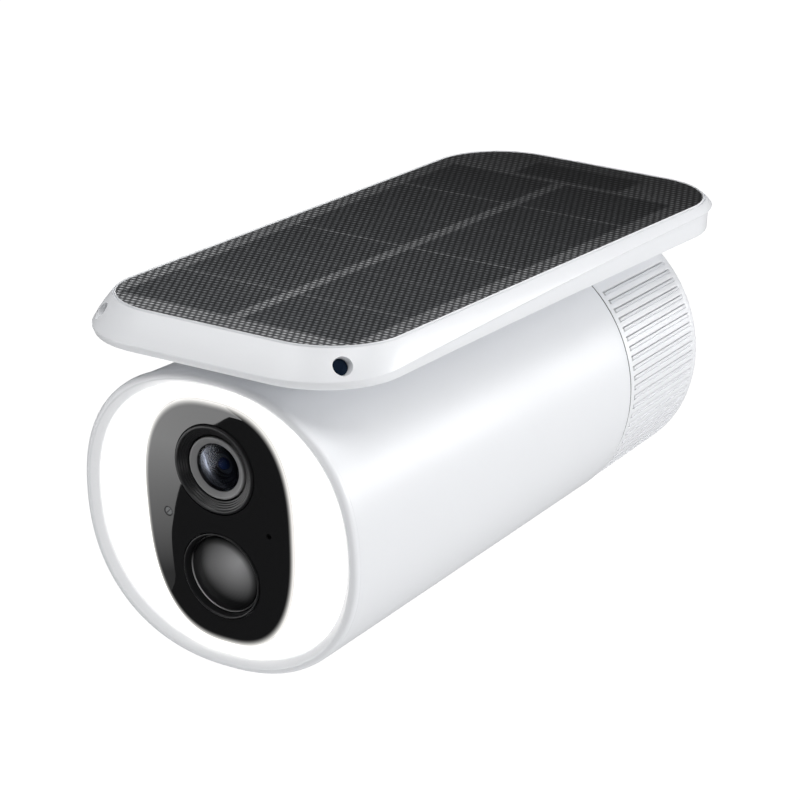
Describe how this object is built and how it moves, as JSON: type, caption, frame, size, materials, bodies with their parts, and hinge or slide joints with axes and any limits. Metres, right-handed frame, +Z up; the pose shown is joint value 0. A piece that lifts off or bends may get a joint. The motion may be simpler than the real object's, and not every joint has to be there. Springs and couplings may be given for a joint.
{
  "type": "security camera",
  "caption": "Barrel security camera with a ring light, a lens and motion sensor in front, and a solar panel that rolls on a ribbed tilt ring.",
  "frame": {"origin": "centre of the rear mounting face, on the tilt axis", "axes": "+Y out of the rear mounting face, -Y the way the camera looks, +Z up, +X to the right seen from the front"},
  "size_m": [0.0914, 0.2076, 0.0957],
  "materials": {
    "white_shell": "satin white moulded plastic",
    "glowing_diffuser": "opal light diffuser, lit",
    "gloss_black": "polished black plastic",
    "satin_black": "satin black plastic",
    "grey_cone": "dark grey satin plastic",
    "lens_glass": "coated lens, treated as opaque",
    "eye_glass": "dark blue polished window",
    "clear_guide": "grey light guide",
    "circuit_green": "solder-masked board",
    "white_board": "white board",
    "solar_laminate": "embossed dark laminate",
    "solar_cell": "dark silicon cells",
    "steel": "plain steel",
    "brass": "plain brass",
    "grey_plastic": "glass-filled plastic",
    "acetal": "natural acetal",
    "rubber": "grey silicone rubber",
    "cell_wrap": "blue sleeve; a battery cell is about as dense as aluminium",
    "filter_glass": "thin coated filter"
  },
  "bodies": {
    "camera": {"barrel_shell": "white_shell", "front_bezel": "white_shell", "rear_cap": "white_shell", "light_diffuser": "glowing_diffuser", "face_cover": "gloss_black", "motion_sensor_dome": "gloss_black", "lens_hood_ring": "satin_black", "lens_barrel": "satin_black", "lens_holder": "satin_black", "motion_sensor_seat": "satin_black", "speaker": "satin_black", "lens_cone_ring": "grey_cone", "lens_front_glass": "lens_glass", "status_light_guide": "clear_guide", "image_sensor_board": "circuit_green", "main_board": "circuit_green", "service_board": "circuit_green", "led_board": "white_board", "motion_sensor_can": "steel", "microphone_capsule": "steel", "charging_socket": "steel", "tilt_motor": "steel", "cap_screw_1": "steel", "cap_screw_2": "steel", "cap_screw_3": "steel", "antenna_strip": "brass", "mount_insert": "brass", "front_chassis": "grey_plastic", "battery_tray": "grey_plastic", "rear_bulkhead": "grey_plastic", "front_bush": "acetal", "rear_bush": "acetal", "front_seal": "rubber", "battery_cell_left": "cell_wrap", "battery_cell_right": "cell_wrap"},
    "solar_panel": {"tilt_ring": "white_shell", "tilt_hub": "grey_plastic", "gear_sector": "acetal", "panel_frame": "white_shell", "panel_laminate": "solar_laminate", "cell_string_left": "solar_cell", "cell_string_right": "solar_cell", "panel_backsheet": "white_board", "panel_back_cover": "white_shell", "charge_board": "circuit_green", "light_sensor_front_left": "eye_glass", "light_sensor_front_right": "eye_glass", "light_sensor_rear_left": "eye_glass", "light_sensor_rear_right": "eye_glass", "panel_screw_1": "steel", "panel_screw_2": "steel", "panel_screw_3": "steel", "panel_screw_4": "steel"},
    "pinion": {"motor_pinion": "acetal"},
    "sync_button": {"sync_button": "rubber"},
    "port_cover": {"port_cover": "rubber"},
    "filter": {"infrared_filter": "filter_glass"}
  },
  "joints": [
    {"name": "panel_tilt", "type": "hinge", "parent": "camera", "child": "solar_panel", "pos_m": [0, 0, 0], "axis": [0, 1, 0], "range_deg": [-40, 40]},
    {"name": "pinion_spin", "type": "hinge", "parent": "camera", "child": "pinion", "pos_m": [0, 0, -0.022], "axis": [0, 1, 0], "range_deg": [-187, 187]},
    {"name": "sync_button_press", "type": "slide", "parent": "camera", "child": "sync_button", "axis": [0, 0, 1], "range_m": [0, 0.001], "stiffness_N_per_m": 1500, "springref_m": -0.0003},
    {"name": "port_cover_hinge", "type": "hinge", "parent": "camera", "child": "port_cover", "pos_m": [0, -0.1023, -0.04064], "axis": [1, 0, 0], "range_deg": [0, 95]},
    {"name": "filter_slide", "type": "slide", "parent": "camera", "child": "filter", "axis": [1, 0, 0], "range_m": [0, 0.0065]}
  ],
  "couplings": [
    {"joint": "pinion_spin", "follows": "panel_tilt", "ratio": 4.6667}
  ]
}
